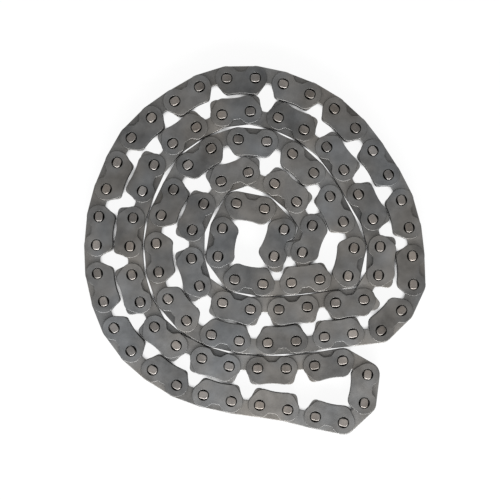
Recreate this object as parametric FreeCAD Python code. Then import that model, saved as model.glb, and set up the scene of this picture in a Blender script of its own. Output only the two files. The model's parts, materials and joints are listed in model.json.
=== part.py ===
import FreeCAD, Part
import math
import os

# Timing chain: an endless inverted-tooth chain, laid up flat as a double coil.
# Units are millimetres. The chain lies on the plane z = 0, with its pins upright.

# Sizes of the chain itself
PITCH = 9.525
PIN_DIAMETER = 3.2
PIN_FLAT_WIDTH = 2.8
PIN_CLEARANCE = 0.06
PIN_STAND_OUT = 0.35
PIN_CHAMFER = 0.25
LINK_THICKNESS = 1.5
GUIDE_THICKNESS = 1.2
SIDE_CLEARANCE = 0.06
COUNTERSINK = 0.3

# Outline of a toothed plate, seen along the pins
EYE_RADIUS = 3.95
BACK_HEIGHT = 4.15
TOE_DEPTH = 5.5
TOE_OVERHANG = 0.75
TOE_ROUNDING = 0.9
TOE_WIDTH = 2.6
TOE_INNER_ROUNDING = 0.5

# Crotch between its two teeth
CROTCH_DEPTH = 0.95
CROTCH_WIDTH = 2.3
CROTCH_ROUNDING = 1.05

# Guide plate: a little smaller, with a shallow hollow between its toes and a notched back
GUIDE_EYE_RADIUS = 3.85
GUIDE_BACK_HEIGHT = 3.9
GUIDE_TOE_DEPTH = 5.4
GUIDE_TOE_WIDTH = 1.6
GUIDE_BASE_HOLLOW = 0.35
NOTCH_FLOOR_HEIGHT = 2.15
NOTCH_FLOOR_WIDTH = 2.4
NOTCH_WALL_OFFSET = 1.8
NOTCH_ROUNDING = 0.7
BACK_ROUNDING = 1.1

# Room left between neighbouring turns of the coil, and how they are settled
TURN_CLEARANCE = 0.08
SETTLE_ROUNDS = 60
PULLS_PER_ROUND = 8
PUSH_SHARE = 0.25
CLOSING_ROUNDS = 6
SAME_POINT = 1e-6

# The lay of the coil: the number of a pin along the chain, and the x and y at which it lies.
# It starts at the outer fold and follows the outer turn clockwise into the coil. Past the
# inner fold, at pin 65, it comes back out beside itself. Pins between these follow the curve.
PIN_COUNT = 110
LAY = (
    (0, 30.0, -57.5), (2, 11.5, -53.0), (5, -16.5, -48.0), (8, -41.0, -34.0), (11, -53.0, -8.0),
    (14, -49.0, 20.0), (17, -34.5, 44.5), (20, -9.0, 57.0), (22, 10.0, 55.5), (25, 34.0, 40.5),
    (28, 49.5, 16.5), (30, 52.5, -2.5), (31, 53.0, -12.0), (32, 49.0, -20.5), (33, 42.0, -27.0), (36, 14.0, -30.0),
    (39, -14.5, -28.5), (42, -32.5, -7.0), (45, -27.5, 20.5), (48, -5.5, 37.5), (50, 12.5, 32.5), (51, 19.5, 26.0),
    (52, 24.0, 17.5), (54, 33.0, 1.0), (55, 31.0, -8.5), (57, 12.5, -10.5), (59, -6.5, -9.5),
    (60, -12.5, -2.5), (61, -11.0, 7.0), (62, -6.0, 15.5), (63, 3.5, 13.5), (64, 10.0, 7.0),
    (65, 7.5, -2.5), (66, 16.5, -1.0), (67, 19.0, 8.5), (69, 6.5, 22.5), (70, -2.5, 26.0),
    (71, -11.5, 23.0), (73, -20.5, 6.5), (75, -18.0, -12.0), (77, -1.0, -19.5), (80, 27.0, -17.5),
    (81, 36.5, -16.5), (82, 41.5, -8.5), (84, 39.5, 10.0), (87, 24.0, 34.5), (88, 17.0, 40.5), (90, -1.5, 46.5),
    (93, -27.0, 35.5), (96, -40.5, 10.5), (99, -38.0, -17.5), (102, -18.0, -37.0),
    (105, 10.5, -39.5), (107, 29.5, -36.5), (108, 37.5, -41.0), (109, 36.5, -50.5),
)

# The loose outer turn is in two tails that can be unrolled. Each runs from a pin on the
# laid-up coil to the opened pivot, where the pin is cut away inside the toothed plates.
OPENED_PIN = 11
LOWER_TAIL_ROOT = 107
UPPER_TAIL_ROOT = 27

# The stretches of the laid-up coil, each from its first link to its last
COIL_STRETCHES = (
    ("entry_turn", 27, 33),
    ("second_turn_lower", 34, 43),
    ("second_turn_upper", 44, 54),
    ("inner_turn", 55, 65),
    ("inner_return", 66, 80),
    ("outer_return", 81, 106),
)

# Heights of the layers, from the plane that the pins stand on
Z_LOWER_GUIDE = PIN_STAND_OUT
Z_LOWER_INNER = Z_LOWER_GUIDE + GUIDE_THICKNESS + SIDE_CLEARANCE
Z_MIDDLE = Z_LOWER_INNER + LINK_THICKNESS + SIDE_CLEARANCE
Z_UPPER_INNER = Z_MIDDLE + LINK_THICKNESS + SIDE_CLEARANCE
Z_UPPER_GUIDE = Z_UPPER_INNER + LINK_THICKNESS + SIDE_CLEARANCE
PIN_LENGTH = Z_UPPER_GUIDE + GUIDE_THICKNESS + PIN_STAND_OUT
PIN_RADIUS = PIN_DIAMETER / 2


# Layout of the pins

def spline_point(before, start, end, after, share):
    """A point between start and end on a smooth curve that also runs by their neighbours."""
    point = []
    for a, b, c, d in zip(before, start, end, after):
        slope = (c - a) / 2
        next_slope = (d - b) / 2
        square = share * share
        cube = square * share
        point.append(
            b * (2 * cube - 3 * square + 1)
            + slope * (cube - 2 * square + share)
            + c * (3 * square - 2 * cube)
            + next_slope * (cube - square)
        )
    return point


def pins_on_lay():
    """The pins as the lay gives them, before each link is brought to its exact pitch."""
    stations = [row[0] for row in LAY]
    places = [(row[1], row[2]) for row in LAY]
    count = len(LAY)
    pins = []
    for index in range(count):
        around = [places[(index + step) % count] for step in (-1, 0, 1, 2)]
        links = (stations[(index + 1) % count] - stations[index]) % PIN_COUNT
        for step in range(links):
            pins.append(spline_point(*around, step / links))
    length = sum(math.dist(pins[i], pins[i - 1]) for i in range(PIN_COUNT))
    scale = PITCH * PIN_COUNT / length
    return [[x * scale, y * scale] for x, y in pins]


def pull_to_pitch(pins):
    """Move the two pins of each link along its line until they are one pitch apart."""
    for index in list(range(PIN_COUNT)) + list(range(PIN_COUNT - 1, -1, -1)):
        first = pins[index]
        second = pins[(index + 1) % PIN_COUNT]
        dx = second[0] - first[0]
        dy = second[1] - first[1]
        length = math.hypot(dx, dy)
        share = (length - PITCH) / length / 2
        first[0] += dx * share
        first[1] += dy * share
        second[0] -= dx * share
        second[1] -= dy * share


def is_guide(link):
    """Even links are guide links. The links between them, on odd numbers, turn on their pins."""
    return link % 2 == 0


def in_tail(link):
    return link < UPPER_TAIL_ROOT or link >= LOWER_TAIL_ROOT


def placed(first, second, points):
    """Points given along a link and towards its teeth, which are on the right, set in place."""
    length = math.dist(first, second)
    ux = (second[0] - first[0]) / length
    uy = (second[1] - first[1]) / length
    return [(first[0] + ux * x + uy * y, first[1] + uy * x - ux * y) for x, y in points]


def half_corners(eye_radius, back_height, toe_depth):
    """Straight-sided outline round the first half of a plate, as far as the toe's tip."""
    chamfer = eye_radius * (math.sqrt(2) - 1)
    return [
        (-chamfer, -back_height), (-eye_radius, -chamfer), (-eye_radius, chamfer),
        (-TOE_OVERHANG, toe_depth),
    ]


def outer_corners(eye_radius, back_height, toe_depth):
    """Outline round a whole plate, with the space between its teeth filled."""
    half = half_corners(eye_radius, back_height, toe_depth)
    return half + [(PITCH - x, y) for x, y in reversed(half)]


def tooth_corners():
    """Outlines round the two halves of a toothed plate, each with one tooth."""
    half = half_corners(EYE_RADIUS, BACK_HEIGHT, TOE_DEPTH) + [
        (TOE_WIDTH - TOE_OVERHANG, TOE_DEPTH), (PITCH / 2, CROTCH_DEPTH), (PITCH / 2, -BACK_HEIGHT),
    ]
    return half, [(PITCH - x, y) for x, y in reversed(half)]


def overlap_of(corners, others):
    """How far two convex outlines reach into each other, and the way to part them."""
    least = None
    for outline in (corners, others):
        for index, corner in enumerate(outline):
            before = outline[index - 1]
            nx = before[1] - corner[1]
            ny = corner[0] - before[0]
            size = math.hypot(nx, ny)
            if size < SAME_POINT:
                continue
            nx /= size
            ny /= size
            mine = [x * nx + y * ny for x, y in corners]
            theirs = [x * nx + y * ny for x, y in others]
            ahead = max(mine) - min(theirs)
            behind = max(theirs) - min(mine)
            depth = min(ahead, behind)
            if depth < -TURN_CLEARANCE:
                return None
            if least is None or depth < least[0]:
                sign = -1 if ahead < behind else 1
                least = (depth, nx * sign, ny * sign)
    return (least[0] + TURN_CLEARANCE, least[1], least[2])


def part_turns(pins):
    """Push apart links of different turns that lie closer than the clearance.

    Guide links and toothed links lie in different layers, so they may overlap in plan, but
    the tails unroll freely only if nothing of them reaches over the coil.
    """
    deepest = max(TOE_DEPTH, GUIDE_TOE_DEPTH)
    filled = outer_corners(
        max(EYE_RADIUS, GUIDE_EYE_RADIUS), max(BACK_HEIGHT, GUIDE_BACK_HEIGHT), deepest
    )
    guide = outer_corners(GUIDE_EYE_RADIUS, GUIDE_BACK_HEIGHT, GUIDE_TOE_DEPTH)
    whole = []
    guides = []
    halves = []
    for link in range(PIN_COUNT):
        ends = (pins[link], pins[(link + 1) % PIN_COUNT])
        whole.append([placed(*ends, filled)])
        guides.append([placed(*ends, guide)])
        halves.append([placed(*ends, corners) for corners in tooth_corners()])
    reach = 2 * (PITCH + deepest)
    for i in range(PIN_COUNT):
        for j in range(i + 2, PIN_COUNT):
            if PIN_COUNT - (j - i) < 2 or math.dist(pins[i], pins[j]) > reach:
                continue
            if in_tail(i) or in_tail(j):
                layers = [whole]
            elif is_guide(i) != is_guide(j):
                continue
            else:
                layers = [guides, halves] if is_guide(i) else [halves]
            for outlines in layers:
                for mine in outlines[i]:
                    for other in outlines[j]:
                        push_apart(pins, i, j, overlap_of(mine, other))


def push_apart(pins, link, other_link, overlap):
    if overlap is None or overlap[0] <= 0:
        return
    depth, nx, ny = overlap
    for moved, way in ((link, PUSH_SHARE), (other_link, -PUSH_SHARE)):
        for pin in (moved, (moved + 1) % PIN_COUNT):
            pins[pin][0] += nx * depth * way
            pins[pin][1] += ny * depth * way


def close_exactly(pins):
    """Rebuild the loop from its links' headings, so that each link is exactly one pitch."""
    headings = []
    for index in range(PIN_COUNT):
        following = pins[(index + 1) % PIN_COUNT]
        headings.append(math.atan2(following[1] - pins[index][1], following[0] - pins[index][0]))
    for _ in range(CLOSING_ROUNDS):
        gap_x = sum(math.cos(h) for h in headings)
        gap_y = sum(math.sin(h) for h in headings)
        sxx = sum(math.sin(h) ** 2 for h in headings)
        syy = sum(math.cos(h) ** 2 for h in headings)
        sxy = -sum(math.sin(h) * math.cos(h) for h in headings)
        size = sxx * syy - sxy * sxy
        ax = (syy * gap_x - sxy * gap_y) / size
        ay = (sxx * gap_y - sxy * gap_x) / size
        headings = [h + math.sin(h) * ax - math.cos(h) * ay for h in headings]
    rebuilt = [(pins[0][0], pins[0][1])]
    for heading in headings[:-1]:
        x, y = rebuilt[-1]
        rebuilt.append((x + PITCH * math.cos(heading), y + PITCH * math.sin(heading)))
    return rebuilt


def centred(pins):
    """The pins moved so that the middle of the coil's width and length is the origin."""
    middle = [(min(values) + max(values)) / 2 for values in zip(*pins)]
    return [(x - middle[0], y - middle[1]) for x, y in pins]


def laid_up_pins():
    """Every pin's place, one pitch apart, with the turns clear of each other."""
    pins = pins_on_lay()
    for _ in range(SETTLE_ROUNDS):
        part_turns(pins)
        for _ in range(PULLS_PER_ROUND):
            pull_to_pitch(pins)
    return centred(close_exactly(pins))


# Plates and pins, made once at the first pin with the link along +X and its teeth to -Y

def rounded_face(corners):
    """A flat face inside straight sides, each corner given as x, y and the radius there."""
    points = [FreeCAD.Vector(x, y, 0) for x, y, _ in corners]
    edges = []
    last_end = None
    for index, (_, _, radius) in enumerate(corners):
        corner = points[index]
        back = (points[index - 1] - corner).normalize()
        ahead = (points[(index + 1) % len(points)] - corner).normalize()
        half_angle = back.getAngle(ahead) / 2
        setback = radius / math.tan(half_angle)
        start = corner + back * setback
        end = corner + ahead * setback
        bisector = (back + ahead).normalize()
        middle = corner + bisector * (radius / math.sin(half_angle) - radius)
        if last_end is None:
            first_start = start
        elif last_end.distanceToPoint(start) > SAME_POINT:
            edges.append(Part.LineSegment(last_end, start).toShape())
        edges.append(Part.Arc(start, middle, end).toShape())
        last_end = end
    if last_end.distanceToPoint(first_start) > SAME_POINT:
        edges.append(Part.LineSegment(last_end, first_start).toShape())
    return Part.Face(Part.Wire(edges))


def mirrored_along_link(half):
    """Corners of a first half, followed by the same corners at the link's other end."""
    return half + [(PITCH - x, y, radius) for x, y, radius in reversed(half)]


def eye_and_toe(eye_radius, back_height, toe_depth):
    """Corners from the back, round the eye, along the flank that touches it, to the toe."""
    toe_distance = math.hypot(TOE_OVERHANG, toe_depth)
    toe_angle = math.atan2(toe_depth, -TOE_OVERHANG)
    touch_angle = toe_angle + math.acos(eye_radius / toe_distance)
    shoulder = eye_radius * math.tan((math.pi - touch_angle) / 2)
    return [
        (-eye_radius, back_height, eye_radius),
        (-eye_radius, -shoulder, eye_radius),
        (-TOE_OVERHANG, -toe_depth, TOE_ROUNDING),
    ]


def toothed_face():
    """Straight back and two teeth, with a round-cornered crotch between them."""
    return rounded_face(mirrored_along_link(eye_and_toe(EYE_RADIUS, BACK_HEIGHT, TOE_DEPTH) + [
        (TOE_WIDTH - TOE_OVERHANG, -TOE_DEPTH, TOE_INNER_ROUNDING),
        ((PITCH - CROTCH_WIDTH) / 2, -CROTCH_DEPTH, CROTCH_ROUNDING),
    ]))


def guide_face():
    """Notched back, and a shallow hollow in place of the crotch."""
    hollow_span = PITCH / 2 - GUIDE_TOE_WIDTH + TOE_OVERHANG
    hollow_depth = 2 * GUIDE_BASE_HOLLOW
    slope = math.atan2(hollow_depth, hollow_span)
    hollow_side = math.hypot(hollow_span, hollow_depth) - TOE_INNER_ROUNDING * math.tan(slope / 2)
    hollow_radius = hollow_side / math.tan(slope)
    notch = [
        ((PITCH - NOTCH_FLOOR_WIDTH) / 2, NOTCH_FLOOR_HEIGHT, NOTCH_ROUNDING),
        (NOTCH_WALL_OFFSET, GUIDE_BACK_HEIGHT, BACK_ROUNDING),
    ]
    eye = eye_and_toe(GUIDE_EYE_RADIUS, GUIDE_BACK_HEIGHT, GUIDE_TOE_DEPTH)
    half = notch + eye + [
        (GUIDE_TOE_WIDTH - TOE_OVERHANG, -GUIDE_TOE_DEPTH, TOE_INNER_ROUNDING),
    ]
    hollow = [(PITCH / 2, hollow_depth - GUIDE_TOE_DEPTH, hollow_radius)]
    mirrored = [(PITCH - x, y, radius) for x, y, radius in reversed(half)]
    return rounded_face(half + hollow + mirrored)


def bored_plate(face, thickness, bore_radius):
    """A plate of the given outline with a bore round each of its two pins."""
    plate = face.extrude(FreeCAD.Vector(0, 0, thickness))
    for x in (0, PITCH):
        plate = plate.cut(Part.makeCylinder(bore_radius, thickness, FreeCAD.Vector(x, 0, 0)))
    return plate


def guide_plate():
    """A guide plate with its outer side up, countersunk where the pins are riveted."""
    plate = bored_plate(guide_face(), GUIDE_THICKNESS, PIN_RADIUS)
    for x in (0, PITCH):
        sink_base = FreeCAD.Vector(x, 0, GUIDE_THICKNESS - COUNTERSINK)
        plate = plate.cut(
            Part.makeCone(PIN_RADIUS, PIN_RADIUS + COUNTERSINK, COUNTERSINK, sink_base)
        )
    return plate


def pin_piece(bottom, top, lower_chamfer, upper_chamfer):
    """A pin from one height to another, chamfered where its end stands out of a plate."""
    profile = [
        (0, bottom), (PIN_RADIUS - lower_chamfer, bottom), (PIN_RADIUS, bottom + lower_chamfer),
        (PIN_RADIUS, top - upper_chamfer), (PIN_RADIUS - upper_chamfer, top), (0, top),
    ]
    points = []
    for x, z in profile:
        point = FreeCAD.Vector(x, 0, z)
        if not points or points[-1].distanceToPoint(point) > SAME_POINT:
            points.append(point)
    face = Part.Face(Part.makePolygon(points + points[:1]))
    return face.revolve(FreeCAD.Vector(0, 0, 0), FreeCAD.Vector(0, 0, 1), 360)


def with_flats(pin):
    """A pin with two flats along the link, milled as deep as the guide plates it is riveted in."""
    end_height = Z_LOWER_GUIDE + GUIDE_THICKNESS
    waste = PIN_RADIUS - PIN_FLAT_WIDTH / 2
    for base in (0, PIN_LENGTH - end_height):
        for y in (PIN_FLAT_WIDTH / 2, -PIN_FLAT_WIDTH / 2 - waste):
            corner = FreeCAD.Vector(-PIN_RADIUS, y, base)
            pin = pin.cut(Part.makeBox(PIN_DIAMETER, waste, end_height, corner))
    return pin


def whole_pin():
    return [with_flats(pin_piece(0, PIN_LENGTH, PIN_CHAMFER, PIN_CHAMFER))]


def opened_pin():
    """The pin of the opened pivot: three stubs, none of them inside a toothed link."""
    lower_end = Z_LOWER_GUIDE + GUIDE_THICKNESS
    middle_top = Z_MIDDLE + LINK_THICKNESS
    return [
        with_flats(pin_piece(0, lower_end, PIN_CHAMFER, 0)),
        pin_piece(Z_MIDDLE, middle_top, 0, 0),
        with_flats(pin_piece(Z_UPPER_GUIDE, PIN_LENGTH, 0, PIN_CHAMFER)),
    ]


def raised(shape, height):
    """A copy of a shape, lifted by a height."""
    copy = shape.copy()
    copy.translate(FreeCAD.Vector(0, 0, height))
    return copy


class Pieces:
    """One of each plate and pin, at its height above the surface that the chain lies on."""

    def __init__(self):
        guide = guide_plate()
        flipped = guide.copy()
        flipped.rotate(FreeCAD.Vector(PITCH / 2, 0, 0), FreeCAD.Vector(1, 0, 0), 180)
        flipped = flipped.mirror(FreeCAD.Vector(0, 0, 0), FreeCAD.Vector(0, 1, 0))
        toothed = bored_plate(toothed_face(), LINK_THICKNESS, PIN_RADIUS + PIN_CLEARANCE)
        middle = bored_plate(toothed_face(), LINK_THICKNESS, PIN_RADIUS)
        self.guide_plates = [
            raised(flipped, Z_LOWER_GUIDE + GUIDE_THICKNESS), raised(guide, Z_UPPER_GUIDE),
        ]
        self.middle_plates = [raised(middle, Z_MIDDLE)]
        self.toothed_plates = [raised(toothed, Z_LOWER_INNER), raised(toothed, Z_UPPER_INNER)]
        self.pin = whole_pin()
        self.opened_pin = opened_pin()


def set_in_place(shapes, pins, link, end=0):
    """Copies of shapes turned along a link and moved to the pin at its start or its end."""
    start = pins[link]
    following = pins[(link + 1) % PIN_COUNT]
    heading = math.degrees(math.atan2(following[1] - start[1], following[0] - start[0]))
    at = following if end else start
    placement = FreeCAD.Placement(
        FreeCAD.Vector(at[0], at[1], 0), FreeCAD.Rotation(FreeCAD.Vector(0, 0, 1), heading)
    )
    copies = []
    for shape in shapes:
        copy = shape.copy()
        copy.Placement = placement.multiply(copy.Placement)
        copies.append(copy)
    return copies


# Sub-assemblies

def link_pins(pieces, pins, link):
    """The two pins riveted in a guide link."""
    solids = []
    for end in (0, 1):
        opened = (link + end) % PIN_COUNT == OPENED_PIN
        shapes = pieces.opened_pin if opened else pieces.pin
        solids += set_in_place(shapes, pins, link, end)
    return solids


def guide_link(pieces, pins, link):
    """Two guide plates and the toothed plate between them, riveted on two pins."""
    plates = set_in_place(pieces.guide_plates + pieces.middle_plates, pins, link)
    return plates + link_pins(pieces, pins, link)


def toothed_link(pieces, pins, link):
    """The two toothed plates that turn on the pins of the guide links beside them."""
    return set_in_place(pieces.toothed_plates, pins, link)


def tail_nodes(pieces, pins):
    """One node for each link of the two tails, named by its place along the chain."""
    nodes = {}
    for link in range(PIN_COUNT):
        if in_tail(link):
            if is_guide(link):
                nodes[tail_name(link)] = guide_link(pieces, pins, link)
            else:
                nodes[tail_name(link)] = toothed_link(pieces, pins, link)
    return nodes


def tail_name(link):
    tail = "upper" if OPENED_PIN <= link < UPPER_TAIL_ROOT else "lower"
    kind = "guide" if is_guide(link) else "toothed"
    order = UPPER_TAIL_ROOT - link if tail == "upper" else (link - LOWER_TAIL_ROOT) % PIN_COUNT + 1
    return f"{tail}_tail_{order:02d}_{kind}_link"


def coil_nodes(pieces, pins):
    """The laid-up coil: for each stretch, a node for each kind of piece."""
    nodes = {}
    for name, first, last in COIL_STRETCHES:
        guides = []
        middles = []
        toothed = []
        riveted = []
        for link in range(first, last + 1):
            if is_guide(link):
                guides += set_in_place(pieces.guide_plates, pins, link)
                middles += set_in_place(pieces.middle_plates, pins, link)
                riveted += link_pins(pieces, pins, link)
            else:
                toothed += toothed_link(pieces, pins, link)
        nodes[f"{name}_guide_plates"] = guides
        nodes[f"{name}_middle_plates"] = middles
        nodes[f"{name}_toothed_plates"] = toothed
        nodes[f"{name}_pins"] = riveted
    return nodes


def build():
    pins = laid_up_pins()
    pieces = Pieces()
    nodes = coil_nodes(pieces, pins)
    nodes.update(tail_nodes(pieces, pins))
    os.makedirs("parts", exist_ok=True)
    for name, solids in nodes.items():
        Part.makeCompound(solids).exportStep(f"parts/{name}.step")


build()
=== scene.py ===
"""Timing chain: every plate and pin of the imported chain, shaped and finished for a studio picture.

The chain lies flat with its pins upright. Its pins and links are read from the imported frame.
Each CAD node is then replaced by one piece, made of plate and pin patterns laid at its links.
Sizes are in metres.
"""

import json
import math

import bmesh
import bpy
from bpy.props import FloatProperty, FloatVectorProperty, IntProperty, PointerProperty
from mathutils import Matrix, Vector
from mathutils.bvhtree import BVHTree


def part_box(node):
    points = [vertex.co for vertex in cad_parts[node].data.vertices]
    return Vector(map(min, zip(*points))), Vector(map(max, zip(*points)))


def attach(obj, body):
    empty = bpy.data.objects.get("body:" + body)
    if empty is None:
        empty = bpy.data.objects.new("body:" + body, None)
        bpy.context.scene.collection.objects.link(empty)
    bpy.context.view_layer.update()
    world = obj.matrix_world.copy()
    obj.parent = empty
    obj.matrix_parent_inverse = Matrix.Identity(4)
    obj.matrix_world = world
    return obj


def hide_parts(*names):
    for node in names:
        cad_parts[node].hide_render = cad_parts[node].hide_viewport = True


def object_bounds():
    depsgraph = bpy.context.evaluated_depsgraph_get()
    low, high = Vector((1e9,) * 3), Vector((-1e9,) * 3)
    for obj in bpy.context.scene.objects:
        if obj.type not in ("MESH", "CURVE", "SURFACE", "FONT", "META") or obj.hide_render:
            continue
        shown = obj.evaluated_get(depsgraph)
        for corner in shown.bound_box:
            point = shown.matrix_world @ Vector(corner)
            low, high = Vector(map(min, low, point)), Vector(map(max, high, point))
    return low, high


bl_info = {
    "name": "Timing Chain",
    "version": (1, 0, 0),
    "blender": (4, 5, 0),
    "location": "3D View > Sidebar > Timing Chain",
    "description": "Dresses the plates and pins of a laid-up inverted-tooth timing chain",
    "category": "Object",
}

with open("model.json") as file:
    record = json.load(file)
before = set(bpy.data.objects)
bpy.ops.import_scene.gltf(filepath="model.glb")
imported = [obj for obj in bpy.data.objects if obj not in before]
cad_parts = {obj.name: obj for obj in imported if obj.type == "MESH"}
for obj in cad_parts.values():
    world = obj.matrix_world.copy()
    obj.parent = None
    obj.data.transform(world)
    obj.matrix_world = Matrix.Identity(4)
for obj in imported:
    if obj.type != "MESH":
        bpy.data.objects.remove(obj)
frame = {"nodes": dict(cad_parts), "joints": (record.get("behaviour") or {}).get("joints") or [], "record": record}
CAD_BOX = [list(corner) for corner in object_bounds()]
MM = 0.001


# The chain as the frame holds it

PITCH_TOLERANCE = 0.02 * MM
RAY_OFFSET = Vector((0.13, 0.07)) * MM
RAY_STEP = 0.001 * MM
ABOVE = 1 * MM
TOE_TEST_REACH = 4.7 * MM
GUIDE_REACH = 0.8 * MM
SAME_HEIGHT = 0.05 * MM
PLACE_DIGITS = 7
HEIGHT_DIGITS = 5


def joint_place(name):
    for joint in frame["joints"]:
        if joint["name"] == name:
            return Vector(joint["pos_m"][:2])
    raise RuntimeError(f"the frame has no joint {name}")


PITCH = (joint_place("lower_tail_pivot_06") - joint_place("lower_tail_pivot_05")).length


def tree_of(node):
    """A tree of a CAD node's triangles that rays can be cast at."""
    mesh = frame["nodes"][node].data
    corners = [vertex.co for vertex in mesh.vertices]
    return BVHTree.FromPolygons(corners, [list(face.vertices) for face in mesh.polygons])


def slabs_at(tree, top, place):
    """The lowest and highest height of each solid that an upright line at a place goes through."""
    start = Vector((place.x, place.y, top + ABOVE))
    heights = []
    while True:
        hit = tree.ray_cast(start, Vector((0, 0, -1)))[0]
        if hit is None:
            break
        heights.append(hit.z)
        start = Vector((place.x, place.y, hit.z - RAY_STEP))
    heights.sort()
    return list(zip(heights[0::2], heights[1::2]))


def pin_places():
    """The middle of each pin's upper end, from the corners at the very top of the part."""
    top = CAD_BOX[1][2]
    corners = set()
    for node in frame["nodes"].values():
        for vertex in node.data.vertices:
            if top - vertex.co.z < RAY_STEP:
                corners.add((round(vertex.co.x, PLACE_DIGITS), round(vertex.co.y, PLACE_DIGITS)))
    groups = []
    for corner in sorted(corners):
        near = [g for g in groups if math.dist(g[0], corner) < PITCH / 2]
        if near:
            near[0].append(corner)
        else:
            groups.append([corner])
    return [Vector((sum(x for x, _ in g) / len(g), sum(y for _, y in g) / len(g))) for g in groups]


def pins_in_order(places):
    """The pins in the order of the chain, each one pitch from the last."""
    left = list(places)
    order = [left.pop(0)]
    while left:
        following = min(left, key=lambda place: abs((place - order[-1]).length - PITCH))
        if abs((following - order[-1]).length - PITCH) > PITCH_TOLERANCE:
            raise RuntimeError("the pins found in the frame are not one pitch apart")
        left.remove(following)
        order.append(following)
    return order


def place_on_link(link, along, across):
    """A point given along a link and away from its teeth, in the frame's own axes."""
    first, second = link
    way = (second - first).normalized()
    return first + way * along + Vector((-way.y, way.x)) * across


def teeth_on_right(links, trees):
    """True if the toes lie on the right of most links, seen along the chain."""
    votes = 0
    for link in links:
        for node, tree in trees.items():
            if not slabs_at(tree, CAD_BOX[1][2], place_on_link(link, PITCH / 2, 0) + RAY_OFFSET):
                continue
            for along in (0, PITCH):
                right = place_on_link(link, along, -TOE_TEST_REACH)
                left = place_on_link(link, along, TOE_TEST_REACH)
                votes += len(slabs_at(tree, CAD_BOX[1][2], right))
                votes -= len(slabs_at(tree, CAD_BOX[1][2], left))
    return votes > 0


def is_guide_link(link, tree):
    """True if guide plates lie at the middle of a link: they are the highest of the plates."""
    middle = (link[0] + link[1]) / 2 + RAY_OFFSET
    return any(
        slab[1] > CAD_BOX[1][2] - GUIDE_REACH for slab in slabs_at(tree, CAD_BOX[1][2], middle)
    )


def read_chain():
    """For each node, its plates and pins: the link that each is turned with, and its heights."""
    trees = {node: tree_of(node) for node in frame["nodes"]}
    pins = pins_in_order(pin_places())
    links = list(zip(pins, pins[1:] + pins[:1]))
    if not teeth_on_right(links, trees):
        pins.reverse()
        links = list(zip(pins, pins[1:] + pins[:1]))
    found = [any(is_guide_link(link, tree) for tree in trees.values()) for link in links]
    first_guide = 0 if sum(found[0::2]) > sum(found[1::2]) else 1
    content = {}
    for node, tree in trees.items():
        low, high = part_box(node)
        plates = []
        rivets = []
        of_guides = "toothed" not in node
        for index, link in enumerate(links):
            middle = (link[0] + link[1]) / 2
            if (index % 2 == first_guide) != of_guides:
                continue
            if low.x < middle.x < high.x and low.y < middle.y < high.y:
                slabs = slabs_at(tree, high.z, middle + RAY_OFFSET)
                plates += [(link, slab) for slab in slabs]
        for index, pin in enumerate(pins):
            if low.x < pin.x < high.x and low.y < pin.y < high.y:
                slabs = slabs_at(tree, high.z, pin + RAY_OFFSET)
                holder = links[index] if index % 2 == first_guide else links[index - 1]
                ends = (pin, pin + holder[1] - holder[0])
                rivets += [(ends, slab) for slab in slabs]
        content[node] = (plates, rivets)
    return content


CHAIN = read_chain()


def layers_of(node):
    """The different lowest and highest heights that the plates of a node have."""
    return sorted({
        (round(low, HEIGHT_DIGITS), round(high, HEIGHT_DIGITS)) for _, (low, high) in CHAIN[node][0]
    })


GUIDE_SLABS = layers_of("inner_turn_guide_plates")
TOOTHED_SLABS = layers_of("inner_turn_toothed_plates")
GUIDE_THICKNESS = GUIDE_SLABS[0][1] - GUIDE_SLABS[0][0]
TOOTHED_THICKNESS = TOOTHED_SLABS[0][1] - TOOTHED_SLABS[0][0]
PIN_LENGTH = CAD_BOX[1][2] - CAD_BOX[0][2]
STUB_LENGTH = GUIDE_SLABS[0][1] - CAD_BOX[0][2]


# What a user would change

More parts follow.
